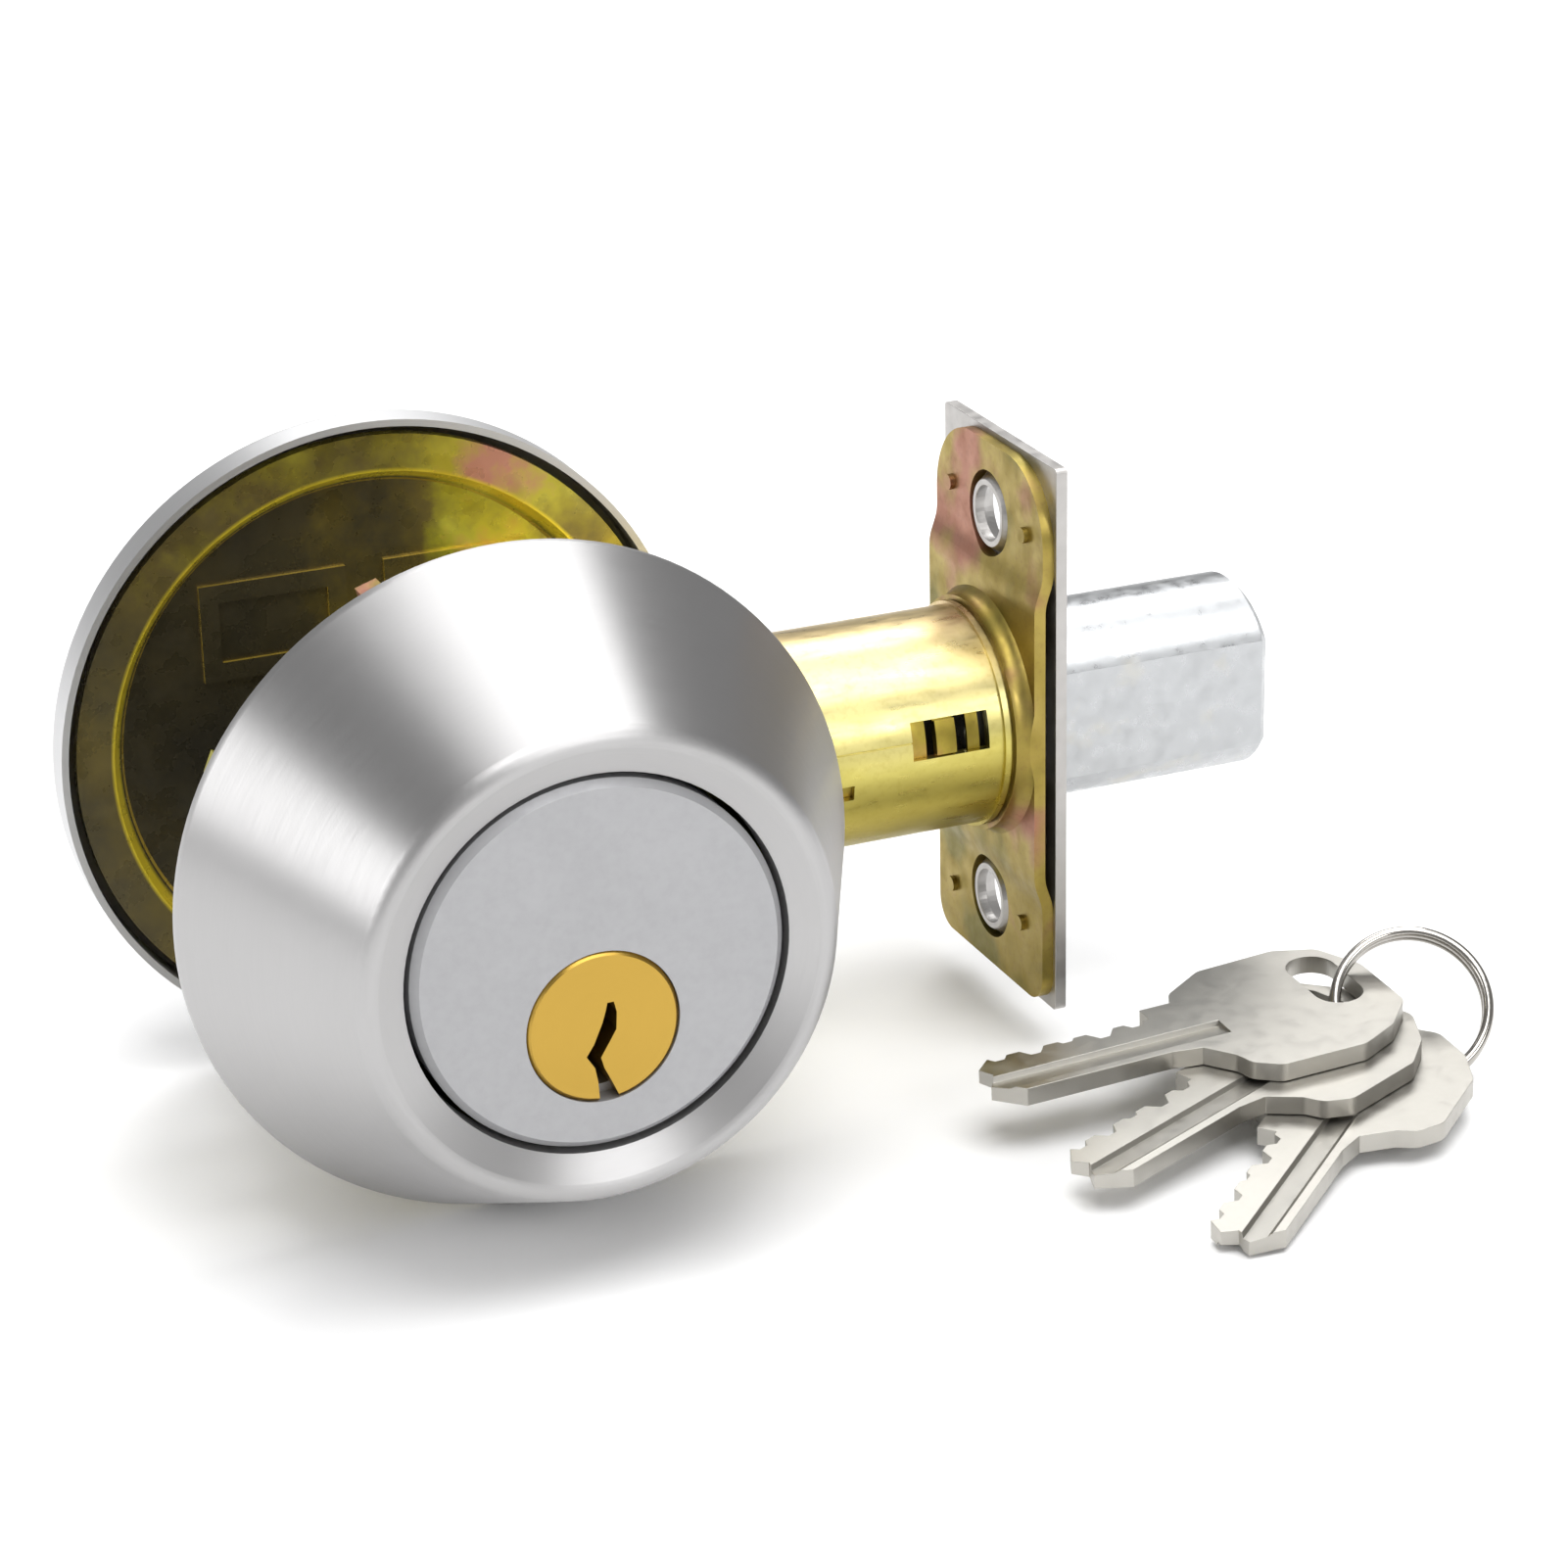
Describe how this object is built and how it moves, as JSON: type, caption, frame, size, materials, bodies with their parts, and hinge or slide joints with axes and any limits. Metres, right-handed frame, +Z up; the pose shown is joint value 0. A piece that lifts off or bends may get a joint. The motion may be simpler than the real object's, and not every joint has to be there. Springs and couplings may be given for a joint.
{
  "type": "tubular deadbolt lock",
  "caption": "Tubular deadbolt: conical keyed outside cylinder, latch tube with square faceplate and thrown bolt, inside rose with thumb-turn, and keys on a split ring.",
  "frame": {"origin": "middle of the door's cross bore, on the bolt's axis, half way through the door's thickness", "axes": "+X the way the bolt throws, towards the door edge; -Y the keyed outside face of the door; +Z up"},
  "size_m": [0.1292, 0.1087, 0.0652],
  "materials": {
    "stainless_cover": "brushed satin stainless sheet",
    "cylinder_face": "satin chrome over die-cast zinc",
    "plug_brass": "turned brass, light wear",
    "pin_brass": "turned brass",
    "spring_steel": "drawn wire",
    "yellow_zinc": "yellow chromate zinc on pressed steel",
    "dark_zinc": "yellow chromate zinc on pressed steel, olive",
    "bright_zinc": "bright zinc plate",
    "plate_steel": "satin stainless sheet",
    "screw_steel": "zinc plated steel",
    "key_nickel": "nickel plated brass, tumbled",
    "ring_steel": "nickel plated spring wire"
  },
  "bodies": {
    "lock_body": {"adjusting_sleeve": "yellow_zinc", "backplate": "yellow_zinc", "chamber_cover": "pin_brass", "crank_case": "bright_zinc", "cylinder_body": "cylinder_face", "driver_pin_1": "pin_brass", "driver_pin_2": "pin_brass", "driver_pin_3": "pin_brass", "driver_pin_4": "pin_brass", "driver_pin_5": "pin_brass", "exterior_housing": "stainless_cover", "faceplate": "plate_steel", "friction_washer": "spring_steel", "latch_tube": "yellow_zinc", "mounting_screws": "screw_steel", "pin_spring_1": "spring_steel", "pin_spring_2": "spring_steel", "pin_spring_3": "spring_steel", "pin_spring_4": "spring_steel", "pin_spring_5": "spring_steel", "rose_cover": "stainless_cover", "rose_plate": "dark_zinc", "support_ring": "dark_zinc"},
    "key_plug": {"plug": "plug_brass", "plug_clip": "spring_steel", "key_pin_1": "pin_brass", "key_pin_2": "pin_brass", "key_pin_3": "pin_brass", "key_pin_4": "pin_brass", "key_pin_5": "pin_brass"},
    "turn_train": {"thumb_turn": "stainless_cover", "tailpiece": "bright_zinc", "crank": "bright_zinc", "turn_clip": "spring_steel"},
    "bolt_train": {"bolt": "bright_zinc", "drive_bar": "bright_zinc", "drive_pin": "bright_zinc", "hardened_roller": "spring_steel", "bolt_rivet": "bright_zinc"},
    "ring": {"key_ring": "ring_steel"},
    "first_key": {"key_1": "key_nickel"},
    "second_key": {"key_2": "key_nickel"},
    "third_key": {"key_3": "key_nickel"}
  },
  "joints": [
    {"name": "turn_hinge", "type": "hinge", "parent": "lock_body", "child": "turn_train", "pos_m": [0, 0.0296, -0.0058], "axis": [0, -1, 0], "range_deg": [0, 90]},
    {"name": "bolt_slide", "type": "slide", "parent": "lock_body", "child": "bolt_train", "axis": [-1, 0, 0], "range_m": [0, 0.025]},
    {"name": "plug_turn", "type": "hinge", "parent": "lock_body", "child": "key_plug", "pos_m": [0, -0.042, -0.0058], "axis": [0, -1, 0], "range_deg": [-90, 90]},
    {"name": "ring_lift", "type": "slide", "parent": "lock_body", "child": "ring", "axis": [0, 0, 1], "range_m": [0, 0.04]},
    {"name": "first_key_swing", "type": "hinge", "parent": "ring", "child": "first_key", "pos_m": [0.08198, -0.02832, -0.02485], "axis": [-0.0448, -0.0389, 0.9982], "range_deg": [-8, 8]},
    {"name": "second_key_swing", "type": "hinge", "parent": "ring", "child": "second_key", "pos_m": [0.08126, -0.03007, -0.02695], "axis": [-0.0448, -0.0389, 0.9982], "range_deg": [-8, 8]},
    {"name": "third_key_swing", "type": "hinge", "parent": "ring", "child": "third_key", "pos_m": [0.08161, -0.03227, -0.02905], "axis": [-0.0448, -0.0389, 0.9982], "range_deg": [-8, 4]}
  ],
  "couplings": [
    {"joint": "turn_hinge", "follows": "bolt_slide", "rad_per_m": 62.83}
  ]
}
